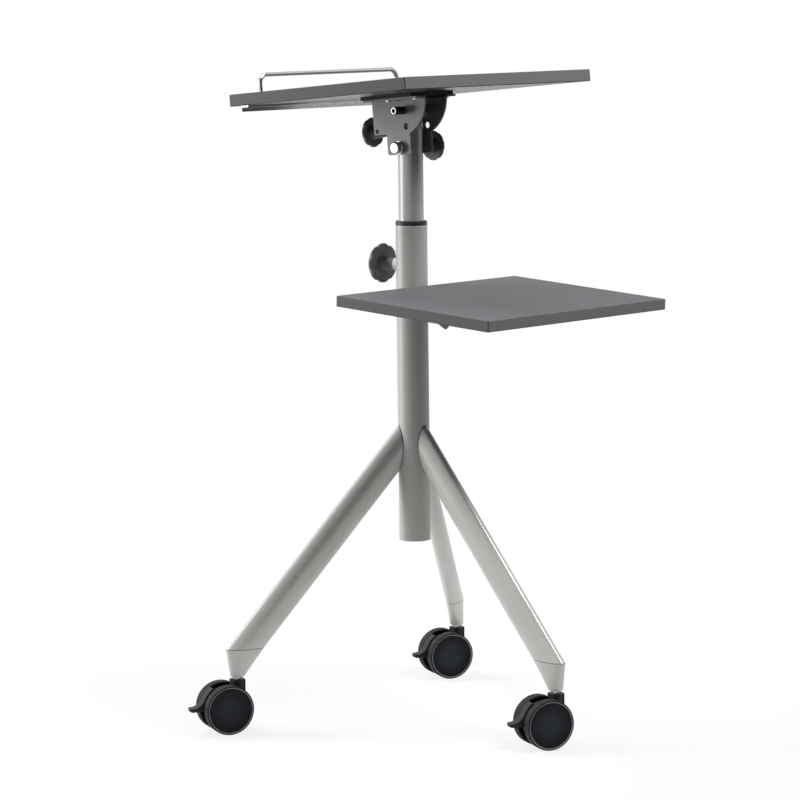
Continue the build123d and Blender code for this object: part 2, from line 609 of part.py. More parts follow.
nodes = {
    "column": make_column(),
    "column_plug": make_column_plug(),
    "collar": make_collar(),
    "mast": make_mast(),
    "shelf": make_shelf(),
    "shelf_bracket": make_shelf_bracket(),
    "tray": make_tray(),
    "head_plate": make_head_plate(),
    "right_side_plate": make_side_plate(1),
    "left_side_plate": make_side_plate(-1),
    "pivot_bolt": make_pivot_bolt(),
    "stop_bolt": make_stop_bolt(),
    "tilt_barrel": make_tilt_barrel(),
    "tray_rail": make_rail(),
    "rail_bar": make_rail_bar(),
    "lock_knob": make_lock_knob(),
    "pivot_knob": make_pivot_knob(),
    "tilt_knob": make_tilt_knob(),
}

for place, angle in LEG_ANGLES.items():
    nodes[place + "_leg"] = make_leg(angle)
    nodes[place + "_foot"] = make_foot(angle)
    nodes[place + "_stem"] = place_caster(make_stem(), angle)
    nodes[place + "_hood"] = place_caster(make_hood(), angle)
    nodes[place + "_brake"] = place_caster(make_brake(), angle)
    nodes[place + "_axle"] = place_caster(make_axle(), angle)
    nodes[place + "_wheel_a"] = place_caster(make_wheel(1), angle)
    nodes[place + "_wheel_b"] = place_caster(make_wheel(-1), angle)

os.makedirs("parts", exist_ok=True)
for name, solid in nodes.items():
    export_step(solid, "parts/" + name + ".step")
    print(name, round(solid.volume), "cubic mm")
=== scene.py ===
# %% [markdown]
# # Dressing a projector stand
# The solids of the stand come from CAD, packed as a fixed frame in metres: +Z is up, and the front is -Y.
# This lesson gives each solid the finish of the real one, adds the small fasteners that CAD leaves out, and
# sets up the floor, the lamps and the camera of a plain studio picture.

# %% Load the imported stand
import json
import math

import bmesh
import bpy
from mathutils import Matrix, Vector


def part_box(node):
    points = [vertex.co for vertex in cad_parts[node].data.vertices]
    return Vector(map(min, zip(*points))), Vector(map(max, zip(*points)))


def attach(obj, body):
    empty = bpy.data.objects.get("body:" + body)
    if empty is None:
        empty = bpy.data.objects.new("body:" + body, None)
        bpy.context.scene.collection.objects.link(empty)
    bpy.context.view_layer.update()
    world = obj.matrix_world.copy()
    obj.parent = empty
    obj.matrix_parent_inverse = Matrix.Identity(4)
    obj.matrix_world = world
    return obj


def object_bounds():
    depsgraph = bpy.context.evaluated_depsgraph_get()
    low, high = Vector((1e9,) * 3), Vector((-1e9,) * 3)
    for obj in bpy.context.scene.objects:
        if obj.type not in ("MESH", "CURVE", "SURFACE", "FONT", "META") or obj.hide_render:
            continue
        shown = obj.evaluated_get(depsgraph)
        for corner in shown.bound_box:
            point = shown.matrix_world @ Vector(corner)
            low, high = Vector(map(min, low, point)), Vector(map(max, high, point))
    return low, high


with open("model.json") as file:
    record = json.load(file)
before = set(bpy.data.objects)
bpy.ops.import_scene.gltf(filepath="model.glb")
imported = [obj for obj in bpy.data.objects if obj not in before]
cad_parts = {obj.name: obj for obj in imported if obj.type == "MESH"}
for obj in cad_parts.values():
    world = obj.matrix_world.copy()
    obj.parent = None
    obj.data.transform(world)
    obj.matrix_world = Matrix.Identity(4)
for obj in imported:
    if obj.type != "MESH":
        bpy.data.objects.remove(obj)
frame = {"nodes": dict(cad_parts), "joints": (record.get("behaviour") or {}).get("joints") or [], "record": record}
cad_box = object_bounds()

solids = frame["nodes"]
joints = {joint["name"]: joint for joint in frame["joints"]}
mounts = {mount["name"]: mount for mount in frame["record"]["mounts"]}


def mm(metres):
    """A length in millimetres, for printing."""
    return round(1000 * metres, 1)


print("box in mm", [[mm(value) for value in end] for end in cad_box])

# %% [markdown]
# ## Where things are
# The tray is tilted with its front edge up, and the shelf hangs a little at its front and is turned a
# little. A finish that follows a board's edges needs the board's own directions. They can be typed in, but
# the frame already knows them: each board has a mount on its top, and the mount's axis is the board's
# normal. In the same way a joint knows the axis of its wheel or knob.

# %% Directions of the two boards
ORIGIN = Vector((0, 0, 0))
UP = Vector((0, 0, 1))
tray_up = Vector(mounts["tray_top"]["axis"]).normalized()
shelf_up = Vector(mounts["shelf_top"]["axis"]).normalized()
tray_right = Vector((1, 0, 0))
shelf_right = Vector((-shelf_up.y, shelf_up.x, 0)).normalized()
tray_back = tray_up.cross(tray_right)
shelf_back = shelf_up.cross(shelf_right)
pivot = Vector(joints["tray_tilt"]["pos_m"])


def on_head(right, back, up):
    """A point of the tilting head, from its own three directions, in metres from the pivot."""
    return pivot + right * tray_right + back * tray_back + up * tray_up


def reach(node, direction):
    """The lowest and highest that a solid goes along a direction."""
    along = [vertex.co.dot(direction) for vertex in solids[node].data.vertices]
    return min(along), max(along)


def axis_of(joint):
    """The direction of a joint's axis, and a point on it."""
    return Vector(joints[joint]["axis"]), Vector(joints[joint]["pos_m"])


for board, normal in (("tray", tray_up), ("shelf", shelf_up)):
    print(board, "tilts by", round(math.degrees(normal.angle(UP)), 2), "degrees")

# %% [markdown]
# ## Sums on shader sockets
# Most finishes here are small sums: a mask is a distance, compared with a size, times some noise. In the
# node editor each sum is a Math node with two wires. A class that wraps a socket lets Python's own signs
# add those nodes, so that a mask reads like the formula that it is. A bar between two masks takes the
# larger one.

# %% The socket class
class Wire:
    """A shader socket that Python can do sums with."""

    def __init__(self, finish, socket):
        self.finish = finish
        self.socket = socket

    def sum(self, operation, *terms):
        return self.finish.node("Math", {"operation": operation}, dict(enumerate(terms)))

    def __add__(self, other):
        return self.sum("ADD", self, other)

    def __radd__(self, other):
        return self.sum("ADD", other, self)

    def __sub__(self, other):
        return self.sum("SUBTRACT", self, other)

    def __rsub__(self, other):
        return self.sum("SUBTRACT", other, self)

    def __mul__(self, other):
        return self.sum("MULTIPLY", self, other)

    def __rmul__(self, other):
        return self.sum("MULTIPLY", other, self)

    def __or__(self, other):
        return self.sum("MAXIMUM", self, other)

    def __abs__(self):
        return self.sum("ABSOLUTE", self)

    def rise(self, low, high):
        """0 below low and 1 above high, with a soft step between."""
        return self.finish.node("MapRange", {"interpolation_type": "SMOOTHSTEP"},
                                {"Value": self, "From Min": low, "From Max": high})

    def band(self, middle, half, soft):
        """1 within half of the middle, and 0 beyond a soft border."""
        return 1 - abs(self - middle).rise(half, half + soft)

    def also(self, output):
        """Another output of the same node."""
        return Wire(self.finish, self.socket.node.outputs[output])


print("sums ready")

# %% [markdown]
# ## One method for every node
# A tree is built from one method. It takes the node's type, the settings that belong to the node itself,
# and the values or wires for its sockets. Settings come first, because some of them change which sockets
# there are. The other methods here only name what that one makes: a place, noise, a distance, an edge.

# %% The finish class
EDGE_SAMPLES = 6


class Finish:
    """The node tree of a material or of the world."""

    def __init__(self, holder):
        holder.use_nodes = True
        self.holder = holder
        self.tree = holder.node_tree
        self.tree.nodes.clear()

    def node(self, kind, settings=None, sockets=None, output=0):
        made = self.tree.nodes.new("ShaderNode" + kind)
        for name, value in (settings or {}).items():
            setattr(made, name, value)
        for name, value in (sockets or {}).items():
            if isinstance(value, Wire):
                self.tree.links.new(value.socket, made.inputs[name])
            else:
                made.inputs[name].default_value = value
        return Wire(self, made.outputs[output]) if made.outputs else made

    def vectors(self, operation, *terms, output="Vector"):
        """Vector Math on places, points and directions."""
        return self.node("VectorMath", {"operation": operation}, dict(enumerate(terms)), output)

    def place(self):
        """Where the surface is at rest. Each solid's object sits at the origin, so this is in the frame."""
        return self.node("TexCoord", output="Object")

    def noise(self, where, waves, detail, stretch=(1, 1, 1)):
        """Soft random values from 0 to 1, with so many waves a metre. stretch changes that by direction."""
        spread = self.vectors("MULTIPLY", where, stretch)
        return self.node("TexNoise", {}, {"Vector": spread, "Scale": waves, "Detail": detail})

    def along(self, where, direction, start=ORIGIN):
        """How far a place is from a start, along a direction."""
        return self.vectors("DOT_PRODUCT", where, direction, output="Value") - start.dot(direction)

    def off_axis(self, where, axis, start):
        """How far a place is from a line."""
        crossed = self.vectors("CROSS_PRODUCT", self.vectors("SUBTRACT", where, start), axis)
        return self.vectors("LENGTH", crossed, output="Value")

    def edges(self, radius):
        """1 on edges and corners, 0 on open faces: how far a rounded normal leaves the real one."""
        rounded = self.node("Bevel", {"samples": EDGE_SAMPLES}, {"Radius": radius})
        normal = self.node("NewGeometry", output="Normal")
        return 1 - self.vectors("DOT_PRODUCT", rounded, normal, output="Value")

    def mix(self, mask, first, second):
        """The first colour where the mask is 0, the second where it is 1."""
        return self.node("Mix", {"data_type": "RGBA"}, {0: mask, 6: first, 7: second}, output=2)

    def shown(self):
        """1 for the rays that show what is behind: from the camera, off a gloss, through glass."""
        ray = self.node("LightPath", output="Is Camera Ray")
        return ray | ray.also("Is Glossy Ray") | ray.also("Is Transmission Ray")

    def close(self, height, depth, sockets):
        """End the tree: a bump of that depth in metres, and the surface shader."""
        relief = self.node("Bump", {}, {"Height": height, "Distance": depth})
        surface = self.node("BsdfPrincipled", {}, {**sockets, "Normal": relief})
        self.node("OutputMaterial", {}, {"Surface": surface})
        return self.holder


def tone(red, green, blue):
    """A colour for a socket, in linear light."""
    return (red, green, blue, 1.0)


def new_finish(name):
    return Finish(bpy.data.materials.new(name))


print("finishes ready")

# %% [markdown]
# ## Powder coat on the tubes
# The column and the legs are steel tube with a warm light grey powder coat. Powder melts in the oven into a
# skin with a fine orange peel, about a millimetre from crest to crest and about a hundredth deep. A bump
# from noise at that scale gives it, and a slower noise lets the tone drift a little, as it does where the
# powder lay thicker. The tubes share one coat, but the legs are painted a shade lighter and the column a
# shade darker, as painted light and shade for how the lamps fall on them. The legs are also smoother than
# the column, and the lines are left to a mask that each caller makes.

# %% Coat with lines
# painted light and shade: one coat, its tones lowered on the column and lifted on the legs
COLUMN_SHADED_TONES = tone(0.545, 0.540, 0.516), tone(0.507, 0.504, 0.484)
LEG_LIT_TONES = tone(0.659, 0.654, 0.625), tone(0.613, 0.610, 0.585)
JOINT_DIRT = tone(0.028, 0.028, 0.026)
BARE_STEEL_AND_HIGHLIGHT = tone(0.80, 0.80, 0.79)
COLUMN_ROUGH, LEG_ROUGH = 0.42, 0.25
DRIFT_WAVES, SCUFF_WAVES = 9.0, 60.0
PEEL_WAVES, PEEL_DEEP = 850.0, 0.00001
TUBE_EDGE, TUBE_WEAR = 0.0012, 0.35
EDGE_RISE = 0.05, 0.4
TONE_RISE = 0.3, 0.7
SCUFF_RISE = 0.62, 0.72


def tube_coat(name, tones, rough, dirty, painted_highlight):
    """Powder coat in two tones. The last two arguments take the finish and the place, and give masks: dark lines,
    and a painted highlight.
    """
    coat = new_finish(name)
    where = coat.place()
    drift = coat.noise(where, DRIFT_WAVES, detail=3.0)
    peel = coat.noise(where, PEEL_WAVES, detail=1.5)
    scuffs = coat.noise(where, SCUFF_WAVES, detail=6.0).rise(*SCUFF_RISE)
    worn = coat.edges(TUBE_EDGE).rise(*EDGE_RISE) * TUBE_WEAR
    colour = coat.mix(drift.rise(*TONE_RISE), *tones)
    # worn edges, and the painted highlight on the column's top rim, both in bare-steel colour
    colour = coat.mix(worn | painted_highlight(coat, where), colour, BARE_STEEL_AND_HIGHLIGHT)
    colour = coat.mix(dirty(coat, where), colour, JOINT_DIRT)
    return coat.close(peel, PEEL_DEEP, {
        "Base Color": colour,
        "Metallic": 0.12,
        "Roughness": rough + 0.08 * drift + 0.06 * scuffs,
        "Specular IOR Level": 0.4,
    })


print("powder coat: peel", mm(1 / PEEL_WAVES), "mm apart")

# %% [markdown]
# ## Lines on the tubes
# The column's upper end is cut square, and a thin bright rim under the bushing is a painted highlight on
# that cut edge, in the colour of bare steel. Each leg is coped, which means that its end is cut to sit on
# the round column, and a fine shadow line runs round that joint. Lower down another line parts the leg
# from its cast foot. All three are where a distance has a known value.

# %% Column, leg and foot finishes
column_low, column_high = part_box("column")
column_radius = (column_high.x - column_low.x) / 2
foot_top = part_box("front_foot")[1].z
RIM_HIGHLIGHT, RIM_SOFT = 0.0011, 0.0001
COPE_LINE = 0.0014
FOOT_LINE, FOOT_SHADE = 0.0005, 0.7


def no_line(coat, where):
    return 0.0


# painted highlight: a thin band at the column's top edge, where the cut edge catches the light
def column_rim_highlight(coat, where):
    rim_start = column_high.z - RIM_HIGHLIGHT
    return coat.along(where, UP).rise(rim_start, rim_start + RIM_SOFT)


def joint_lines(coat, where):
    from_axis = coat.off_axis(where, UP, ORIGIN)
    cope = 1 - from_axis.rise(column_radius + COPE_LINE / 2, column_radius + COPE_LINE)
    seam = coat.along(where, UP).band(foot_top, FOOT_LINE, FOOT_LINE / 2) * FOOT_SHADE
    return cope | seam


column_coat = tube_coat("column_coat", COLUMN_SHADED_TONES, COLUMN_ROUGH, no_line, column_rim_highlight)
leg_coat = tube_coat("leg_coat", LEG_LIT_TONES, LEG_ROUGH, joint_lines, no_line)
print("column", mm(2 * column_radius), "mm across, foot joint", mm(foot_top), "mm up")

# %% [markdown]
# ## The sliding mast
# The inner tube is a cooler silver grey, and it slides through a plastic bushing. That polishes it in fine
# upright streaks. Noise that is squeezed round the tube and drawn out along it gives such streaks, for the
# tone and the roughness both, so that they show only where light glances off them.

# %% Mast finish
MAST_TONE = tone(0.582, 0.582, 0.566)
MAST_RUBBED = tone(0.672, 0.672, 0.661)
STREAKS_ROUND, STREAKS_ALONG = 900, 9
STREAK_RISE, STREAK_SHARE = (0.52, 0.72), 0.6
MAST_PEEL_WAVES, MAST_PEEL_DEEP = 1100.0, 0.00002
MAST_EDGE, MAST_WEAR = 0.001, 0.5


def mast_coat():
    coat = new_finish("mast_coat")
    where = coat.place()
    stretch = STREAKS_ROUND, STREAKS_ROUND, STREAKS_ALONG
    streaks = coat.noise(where, waves=1.0, detail=3.0, stretch=stretch)
    peel = coat.noise(where, MAST_PEEL_WAVES, detail=1.5)
    rubbed = streaks.rise(*STREAK_RISE)
    worn = coat.edges(MAST_EDGE).rise(*EDGE_RISE) * MAST_WEAR
    return coat.close(peel + streaks, MAST_PEEL_DEEP, {
        "Base Color": coat.mix((rubbed * STREAK_SHARE) | worn, MAST_TONE, MAST_RUBBED),
        "Roughness": 0.38 - 0.10 * rubbed,
        "Metallic": 0.15 + 0.15 * rubbed,
        "Specular IOR Level": 0.4,
    })


mast_finish = mast_coat()
print("mast streaks", STREAKS_ROUND // STREAKS_ALONG, "times as long as wide")

# %% [markdown]
# ## Melamine boards
# Tray and shelf are chipboard with a dark grey melamine face and a glued edge band. The face is pressed
# with a fine pearl grain and has tiny lighter specks. The underside is painted near black and made
# glossier, as painted shade for the dark under the board. The band is a shade apart, a hairline of glue
# shows along both of its borders, and where two bands meet at a corner there is a thin dark joint. All of
# it hangs on the distance from the board's sides, so the finish measures along the board's own directions.

# %% Board finish
FACE = tone(0.162, 0.168, 0.176)
SPECK = tone(0.228, 0.235, 0.243)
BAND = tone(0.212, 0.218, 0.220)
BAND_WORN = tone(0.245, 0.25, 0.253)
UNDERSIDE_SHADE = tone(0.022, 0.023, 0.025)
GLUE = tone(0.045, 0.047, 0.05)
BAND_SKIN = 0.0009
BAND_RISE = BAND_SKIN * 0.5, BAND_SKIN * 0.7
CORNER_RISE = 0.0008, 0.0011
UNDERSIDE_SHADE_SKIN, UNDERSIDE_SHADE_SOFT = 0.0002, 0.0002
GLUE_LINE, GLUE_SHADE = 0.00018, 0.5
PEARL_WAVES, PEARL_DEEP = 1300.0, 0.00003
CLOUD_WAVES, SPECK_WAVES, CHAFE_WAVES = 7.0, 2400.0, 90.0
RUB_WAVES = 40, 300, 40
CLOUD_RISE, CLOUD_SHARE = (0.35, 0.75), 0.12
SPECK_RISE, SPECK_SHARE = (0.68, 0.76), 0.5
RUB_RISE, CHAFE_RISE = (0.60, 0.72), (0.35, 0.6)
BOARD_EDGE, BOARD_EDGE_RISE, BOARD_WEAR = 0.0008, (0.03, 0.3), 0.5


def inside(board, where, way, ends):
    """How far inside its two ends a place is, along a direction."""
    start, end = ends
    return (end - start) / 2 - abs(board.along(where, way) - (start + end) / 2)


def board_finish(name, node, *ways):
    """The finish of a board, from its directions to the right, to the back and up."""
    board = new_finish(name)
    where = board.place()
    ends = [reach(node, way) for way in ways]
    sideways, lengthways, upright = [inside(board, where, *pair) for pair in zip(ways, ends)]
    band = (1 - sideways.rise(*BAND_RISE)) | (1 - lengthways.rise(*BAND_RISE))
    corner = (1 - sideways.rise(*CORNER_RISE)) * (1 - lengthways.rise(*CORNER_RISE))
    glue = upright.band(BAND_SKIN, GLUE_LINE, GLUE_LINE) * band * GLUE_SHADE
    # painted shade: a near-black, glossier skin on the board's underside
    underside_shade_top = ends[2][0] + UNDERSIDE_SHADE_SKIN
    underside_shade = (1 - board.along(where, ways[2]).rise(underside_shade_top, underside_shade_top + UNDERSIDE_SHADE_SOFT)) * (1 - band)
    pearl = board.noise(where, PEARL_WAVES, detail=2.0)
    cloud = board.noise(where, CLOUD_WAVES, detail=3.0)
    specks = board.noise(where, SPECK_WAVES, detail=0.0).rise(*SPECK_RISE) * SPECK_SHARE
    rubs = board.noise(where, waves=1.0, detail=4.0, stretch=RUB_WAVES).rise(*RUB_RISE)
    chafed = board.noise(where, CHAFE_WAVES, detail=4.0).rise(*CHAFE_RISE)
    worn = board.edges(BOARD_EDGE).rise(*BOARD_EDGE_RISE) * chafed
    colour = board.mix(specks | (cloud.rise(*CLOUD_RISE) * CLOUD_SHARE), FACE, SPECK)
    colour = board.mix(underside_shade, colour, UNDERSIDE_SHADE)
    colour = board.mix(band, colour, BAND)
    colour = board.mix(worn * BOARD_WEAR, colour, BAND_WORN)
    colour = board.mix(corner | glue, colour, GLUE)
    print(node, [mm(end - start) for start, end in ends], "mm")
    return board.close(pearl * (1 - band) * (1 - underside_shade), PEARL_DEEP, {
        "Base Color": colour,
        "Roughness": 0.60 + 0.06 * cloud - 0.06 * rubs * (1 - band) - 0.36 * underside_shade,
        "Specular IOR Level": 0.05,
    })


tray_finish = board_finish("tray_melamine", "tray", tray_right, tray_back, tray_up)
shelf_finish = board_finish("shelf_melamine", "shelf", shelf_right, shelf_back, shelf_up)

# %% [markdown]
# ## Coated sheet steel
# The folded plates of the head and the shelf's bracket have a fine-textured coat in blue-grey, and the
# plate under the tray has a black one. The side plates have the most gloss, so they look paler towards a
# lamp than their colour is. Their blue-grey is also set lighter than the bracket's, partly as painted light
# for the shade that the tray casts on them. Coated sheet wears first along its cut edges. A rounded normal,
# set against the real one, finds the edges of any shape, and noise breaks the wear up so that it doesn't
# look drawn.

# %% Sheet finishes
SHEET_GRAIN, SHEET_DRIFT = 1500.0, 25.0
SHEET_EDGE, SHEET_EDGE_RISE = 0.0009, (0.04, 0.3)
SHEET_WEAR_RISE, GRAIN_RISE = (0.35, 0.65), (0.2, 0.8)
HOLLOW_SHADE = 0.86


def sheet_coat(name, colour, worn_colour, depth, rough, shine):
    coat = new_finish(name)
    where = coat.place()
    texture = coat.noise(where, SHEET_GRAIN, detail=2.5)
    drift = coat.noise(where, SHEET_DRIFT, detail=4.0)
    worn = coat.edges(SHEET_EDGE).rise(*SHEET_EDGE_RISE) * (0.35 + 0.5 * drift.rise(*SHEET_WEAR_RISE))
    hollow = tone(*(HOLLOW_SHADE * part for part in colour))
    grained = coat.mix(texture.rise(*GRAIN_RISE), hollow, tone(*colour))
    return coat.close(texture, depth, {
        "Base Color": coat.mix(worn, grained, tone(*worn_colour)),
        "Roughness": rough + 0.10 * drift,
        "Specular IOR Level": shine,
    })


# partly painted light: the side plates' blue-grey is lifted to make up for the tray's shade on them
plate_finish = sheet_coat("plate_coat", (0.200, 0.210, 0.226), (0.36, 0.37, 0.39),
                          depth=0.00005, rough=0.42, shine=0.55)
bracket_finish = sheet_coat("bracket_coat", (0.085, 0.089, 0.096), (0.20, 0.205, 0.215),
                            depth=0.00005, rough=0.45, shine=0.25)
black_finish = sheet_coat("black_coat", (0.024, 0.026, 0.029), (0.07, 0.07, 0.073),
                          depth=0.00004, rough=0.60, shine=0.25)
print("plates, bracket and black coat made")

# %% [markdown]
# ## Moulded plastic
# The knobs are matt glass-filled nylon with a spark-eroded grain. The bushing, the plug, and the hoods and
# pedals of the casters are smoother. One recipe serves all of them: grain from noise, a tone that drifts,
# and lighter handled edges. Only the values change.

# %% Plastic finishes
PLASTIC_DRIFT, DRIFT_LIFT = 45.0, 1.2
PLASTIC_EDGE, HANDLED_RISE = 0.0014, (0.03, 0.35)


def moulded(name, colour, handled, grain, depth, rough, shine):
    plastic = new_finish(name)
    where = plastic.place()
    pits = plastic.noise(where, grain, detail=3.0)
    drift = plastic.noise(where, PLASTIC_DRIFT, detail=3.0)
    rubbed = plastic.edges(PLASTIC_EDGE).rise(*HANDLED_RISE) * (0.3 + 0.5 * drift)
    lifted = tone(*(DRIFT_LIFT * part for part in colour))
    drifting = plastic.mix(drift.rise(*TONE_RISE), tone(*colour), lifted)
    return plastic.close(pits, depth, {
        "Base Color": plastic.mix(rubbed, drifting, tone(*handled)),
        "Roughness": rough + 0.10 * pits - 0.10 * rubbed,
        "Specular IOR Level": shine,
    })


knob_finish = moulded("knob_nylon", (0.160, 0.161, 0.162), (0.27, 0.27, 0.27),
                      grain=1800.0, depth=0.00006, rough=0.55, shine=0.3)
bush_finish = moulded("bush_plastic", (0.020, 0.020, 0.019), (0.06, 0.06, 0.058),
                      grain=1200.0, depth=0.00002, rough=0.38, shine=0.35)
caster_finish = moulded("caster_plastic", (0.015, 0.017, 0.0165), (0.045, 0.050, 0.048),
                        grain=1500.0, depth=0.00004, rough=0.42, shine=0.2)
print("three plastics made")

# %% [markdown]
# ## Caster wheels
# A wheel is moulded in two steps: a hard body with a smooth black disc, and a softer grey tread shot round
# it. The disc is painted a paler blue-black towards its middle, in soft patches, as a painted reflection. A
# thin pale line rings the disc, and the tyre's shoulder outside it is painted darker than its tread, as
# painted shade. The parts of one solid share one finish, so the finish asks how far a place is from the
# axle, and how far out along it, and colours it by that. Each caster has an axle of its own, which its
# joint gives.

# %% Wheel finishes
DISC = tone(0.004, 0.005, 0.007)
DISC_SHEEN = tone(0.023, 0.028, 0.042)
BEAD = tone(0.26, 0.275, 0.265)
TREAD = tone(0.018, 0.020, 0.0195)
TREAD_DUST = tone(0.034, 0.036, 0.035)
SHOULDER_SHADE = tone(0.010, 0.011, 0.011)
DISC_SHEEN_FADE = 0.008, 0.033
BEAD_RADIUS, BEAD_HALF, BEAD_SOFT = 0.0347, 0.0005, 0.0004
SHOULDER_ROUND, SHOULDER_SOFT = 0.0021, 0.0003
DUST_WAVES, DUST_RISE = 70.0, (0.45, 0.75)
DISC_SHEEN_WAVES = 35.0
WHEEL_GRAIN, WHEEL_GRAIN_DEEP = 1400.0, 0.00003


def wheel_finish(caster):
    axis, middle = axis_of(caster + "_roll")
    wheel = new_finish(caster + "_wheel")
    where = wheel.place()
    radius = wheel.off_axis(where, axis, middle)
    outward = abs(wheel.along(where, axis, middle))
    rim_out = max(abs(end - middle.dot(axis)) for end in reach(caster + "_wheel_a", axis))
    shoulder = rim_out - SHOULDER_ROUND
    outside = outward.rise(shoulder, shoulder + SHOULDER_SOFT)
    bead_end = BEAD_RADIUS + BEAD_HALF
    tread = radius.rise(bead_end, bead_end + BEAD_SOFT)
    bead = radius.band(BEAD_RADIUS, BEAD_HALF, BEAD_SOFT) * outside
    dust = wheel.noise(where, DUST_WAVES, detail=5.0).rise(*DUST_RISE)
    grain = wheel.noise(where, WHEEL_GRAIN, detail=2.0)
    # painted reflection: soft patches of a paler blue-black, fading in towards the disc's middle
    rubbed = 0.6 + 0.4 * wheel.noise(where, DISC_SHEEN_WAVES, detail=2.0).rise(*TONE_RISE)
    colour = wheel.mix((1 - radius.rise(*DISC_SHEEN_FADE)) * rubbed, DISC, DISC_SHEEN)
    # painted shade: the tyre's rounded shoulder is darker than its tread
    rolling = wheel.mix(outside, wheel.mix(dust, TREAD, TREAD_DUST), SHOULDER_SHADE)
    colour = wheel.mix(tread, colour, rolling)
    colour = wheel.mix(bead, colour, BEAD)
    return wheel.close(grain * (0.3 + 0.7 * tread), WHEEL_GRAIN_DEEP, {
        "Base Color": colour,
        "Roughness": 0.36 + 0.26 * tread + 0.06 * grain,
        "Specular IOR Level": 0.15,
    })


wheel_finishes = {caster: wheel_finish(caster) for caster in ("front", "right", "left")}
print("wheels for", ", ".join(wheel_finishes))

# %% [markdown]
# ## Bright metal
# Screws, stems, axles and the bar are zinc plated, which is bright with faint clouds and drawing lines. The
# big pivot bolt is plated too, but duller. The rail is polished chrome over smooth wire, with no more than
# a trace of handling. All are metal all through, so their look is made by roughness, and by what stands
# round them in the studio.

# %% Metal finishes
METAL_CLOUDS = 160.0
DRAWN_LINES, DRAWN_DEEP = (40, 900, 900), 0.0000006


def bright_metal(name, colour, dull, rough, smear):
    metal = new_finish(name)
    where = metal.place()
    clouds = metal.noise(where, METAL_CLOUDS, detail=4.0)
    lines = metal.noise(where, waves=1.0, detail=2.0, stretch=DRAWN_LINES)
    return metal.close(lines, DRAWN_DEEP, {
        "Base Color": metal.mix(clouds.rise(*CLOUD_RISE), tone(*colour), tone(*dull)),
        "Metallic": 1.0,
        "Roughness": rough + smear * clouds,
    })


zinc_finish = bright_metal("zinc_plate", (0.60, 0.60, 0.59), (0.48, 0.48, 0.48), rough=0.24, smear=0.14)
bolt_finish = bright_metal("bolt_plate", (0.50, 0.50, 0.49), (0.38, 0.38, 0.38), rough=0.40, smear=0.14)
chrome_finish = bright_metal("chrome_plate", (0.56, 0.565, 0.57), (0.52, 0.525, 0.53), rough=0.06, smear=0.06)
print("zinc, bolt and chrome plate made")

# %% [markdown]
# ## A finish for every solid
# The record names a material slot for each solid. Most slots have one finish for all their solids. The
# column, the boards, the bracket, the pivot bolt and the wheels have finishes of their own. The finish goes
# into the solid's material slot, and the mesh stays as it is.

# %% Hand out the finishes
by_slot = {
    "frame_paint": leg_coat, "mast_paint": mast_finish, "dark_steel": plate_finish,
    "black_steel": black_finish, "black_plastic": bush_finish, "knob_plastic": knob_finish,
    "caster_plastic": caster_finish, "zinc": zinc_finish, "chrome": chrome_finish,
}
by_solid = {
    "column": column_coat, "tray": tray_finish, "shelf": shelf_finish, "shelf_bracket": bracket_finish,
    "pivot_bolt": bolt_finish,
}
for caster, finish in wheel_finishes.items():
    by_solid[caster + "_wheel_a"] = finish
    by_solid[caster + "_wheel_b"] = finish
for part in frame["record"]["subparts"]:
    for place in solids[part["node"]].material_slots:
        place.material = by_solid.get(part["node"]) or by_slot[part["material_slot"]]

# %% [markdown]
# ## Turned pieces
# Screws, rings and caps are round, so their shape is a line turned about an axis. A screw modifier could
# turn it, but a few lines of bmesh give exact rings of points, and sharp borders stay where the line bends.
# A ray that is cast on to a solid finds where a piece sits and which way the surface faces there.

# %% Turning helpers
ROUND_STEPS = 28
SHARP_FROM = math.radians(35)


def ring_of(mesh, radius, height, steps):
    """Points round the axis, or the one point on it, as often as a ring has points."""
    if not radius:
        return [mesh.verts.new((0, 0, height))] * steps
    turns = [math.tau * step / steps for step in range(steps)]
    return [mesh.verts.new((radius * math.cos(turn), radius * math.sin(turn), height)) for turn in turns]


def to_piece(name, mesh, seat, outward):
    """Set a bmesh on a seat, with its Z outward, as a smooth-shaded object that keeps sharp borders."""
    bmesh.ops.recalc_face_normals(mesh, faces=mesh.faces)
    mesh.transform(Matrix.Translation(seat) @ outward.to_track_quat("Z", "Y").to_matrix().to_4x4())
    data = bpy.data.meshes.new(name)
    mesh.to_mesh(data)
    mesh.free()
    data.shade_smooth()
    data.set_sharp_from_angle(angle=SHARP_FROM)
    piece = bpy.data.objects.new(name, data)
    bpy.context.scene.collection.objects.link(piece)
    return piece


def turned_piece(name, line, seat, outward, steps=ROUND_STEPS):
    """Turn a line of (radius, height) points about the outward direction at the seat."""
    mesh = bmesh.new()
    rings = [ring_of(mesh, radius, height, steps) for radius, height in line]
    for inner, outer in zip(rings, rings[1:]):
        for step in range(steps):
            corners = (inner[step], inner[step - 1], outer[step - 1], outer[step])
            mesh.faces.new(dict.fromkeys(corners))
    return to_piece(name, mesh, seat, outward)


print("turning ready,", ROUND_STEPS, "steps to a round")

# %% Seating helpers
def seat_on(node, start, towards):
    """Where a ray meets a solid, and the way that its surface faces there."""
    hit, point, normal, _ = solids[node].ray_cast(start, towards)
    if not hit:
        raise RuntimeError("no seat on " + node)
    return point, normal


def fit(piece, body, finish):
    """Let a piece ride on a body, in a finish."""
    piece.data.materials.append(finish)
    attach(piece, body)


print("seating ready")

# %% [markdown]
# ## Pan-head screws
# Four bright screws hold the folded flanges to the plate under the tray, and four hold the shelf on its
# bracket. Each has a low domed head and a cross recess. The recess could be painted, but it is cut here
# with a Boolean, because light falls into a real one from every side.

